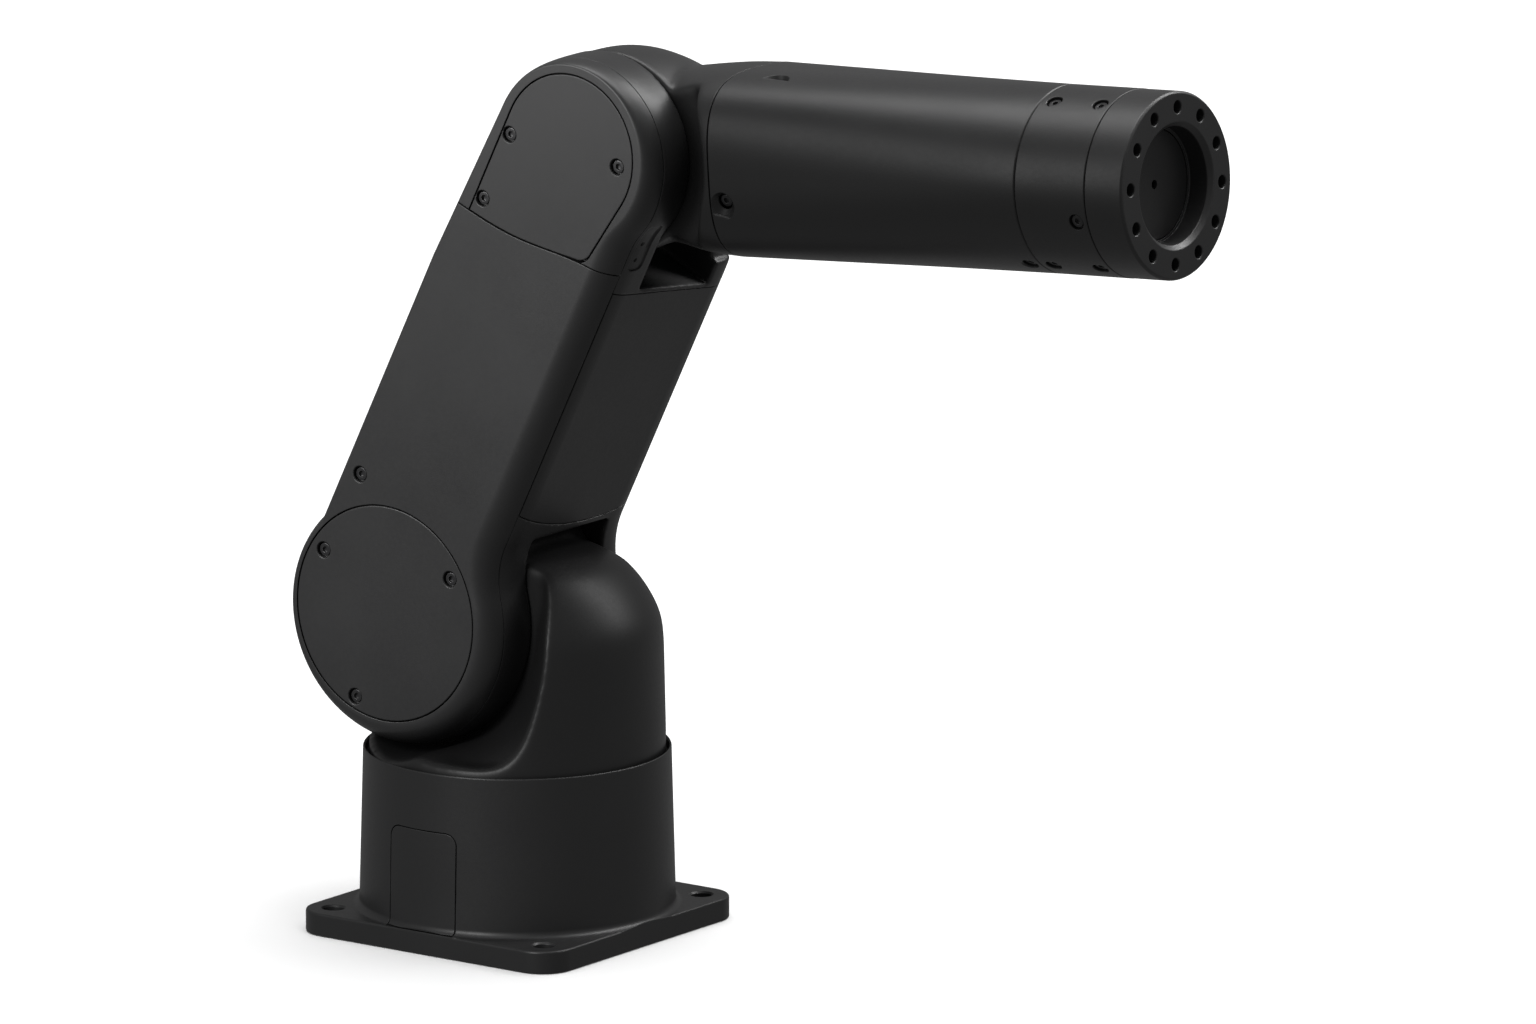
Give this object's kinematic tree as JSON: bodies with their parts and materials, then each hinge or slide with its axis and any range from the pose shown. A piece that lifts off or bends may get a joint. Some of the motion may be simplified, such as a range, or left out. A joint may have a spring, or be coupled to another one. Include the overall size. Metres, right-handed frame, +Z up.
{
  "type": "desktop robot arm",
  "caption": "Black tabletop robot arm: square mounting plate, turning turret, leaning upper arm between shoulder and elbow joints, round forearm and bolted tool flange.",
  "frame": {"origin": "centre of the mounting plate's underside, on the base's turning axis", "axes": "+Z up along the base's turning axis, +X where the forearm points at rest, drive-side covers face -Y"},
  "size_m": [0.4199, 0.1336, 0.3921],
  "materials": {
    "black_powder_coat": "satin",
    "base_powder_coat": "satin",
    "machined_steel": "satin",
    "motor_housing": "satin",
    "black_oxide_steel": "satin",
    "circuit_board": "satin",
    "black_plastic": "matte"
  },
  "bodies": {
    "base": {"base_housing": "base_powder_coat", "base_access_panel": "black_powder_coat", "rear_connector_panel": "black_powder_coat", "power_socket": "black_plastic", "data_socket": "black_plastic", "base_bottom_cover": "black_plastic", "controller_board": "circuit_board", "j1_motor": "motor_housing", "j1_gear_unit": "machined_steel", "j1_bearing_outer_ring": "machined_steel"},
    "turret": {"turret_housing": "black_powder_coat", "j1_bearing_inner_ring": "machined_steel", "j1_output_hub": "machined_steel", "j2_gear_unit": "machined_steel", "j2_motor": "motor_housing", "shoulder_bearing": "machined_steel"},
    "upper_arm": {"arm_frame": "black_powder_coat", "arm_drive_shell": "black_powder_coat", "elbow_cap": "black_powder_coat", "shoulder_cover": "black_powder_coat", "elbow_cover": "black_powder_coat", "arm_front_cover": "black_powder_coat", "shoulder_hub": "machined_steel", "shoulder_pivot_shaft": "machined_steel", "shoulder_idler_cover": "black_powder_coat", "elbow_hub": "machined_steel", "elbow_pivot_shaft": "machined_steel", "elbow_idler_cover": "black_powder_coat", "shoulder_cover_screw_1": "black_oxide_steel", "shoulder_cover_screw_2": "black_oxide_steel", "shoulder_cover_screw_3": "black_oxide_steel", "elbow_cover_screw_1": "black_oxide_steel", "elbow_cover_screw_2": "black_oxide_steel", "elbow_cover_screw_3": "black_oxide_steel", "arm_shell_screw": "black_oxide_steel"},
    "forearm": {"elbow_knuckle": "black_powder_coat", "forearm_shell": "black_powder_coat", "wrist_housing": "black_powder_coat", "j3_gear_unit": "machined_steel", "j3_motor": "motor_housing", "elbow_bearing": "machined_steel", "j4_motor": "motor_housing", "j4_gear_unit": "machined_steel", "wrist_bearing": "machined_steel", "forearm_screw_1": "black_oxide_steel", "forearm_screw_2": "black_oxide_steel", "forearm_screw_3": "black_oxide_steel", "forearm_screw_4": "black_oxide_steel", "wrist_screw_1": "black_oxide_steel", "wrist_screw_2": "black_oxide_steel", "wrist_screw_3": "black_oxide_steel", "wrist_screw_4": "black_oxide_steel", "wrist_screw_5": "black_oxide_steel", "wrist_screw_6": "black_oxide_steel", "wrist_screw_7": "black_oxide_steel"},
    "tool": {"tool_flange": "black_powder_coat", "flange_centre_disc": "black_powder_coat", "wrist_output_hub": "machined_steel"}
  },
  "joints": [
    {"name": "base_yaw", "type": "hinge", "parent": "base", "child": "turret", "pos_m": [0, 0, 0.0735], "axis": [0, 0, 1], "range_deg": [-170, 170]},
    {"name": "shoulder_pitch", "type": "hinge", "parent": "turret", "child": "upper_arm", "pos_m": [-0.0307, 0, 0.1371], "axis": [0, 1, 0], "range_deg": [-115, 8]},
    {"name": "elbow_pitch", "type": "hinge", "parent": "upper_arm", "child": "forearm", "pos_m": [0.06736, 0, 0.33905], "axis": [0, 1, 0], "range_deg": [-120, 28]},
    {"name": "tool_roll", "type": "hinge", "parent": "forearm", "child": "tool", "pos_m": [0.33266, 0, 0.35396], "axis": [0.9976, 0, 0.0689], "range_deg": [-175, 175]}
  ]
}
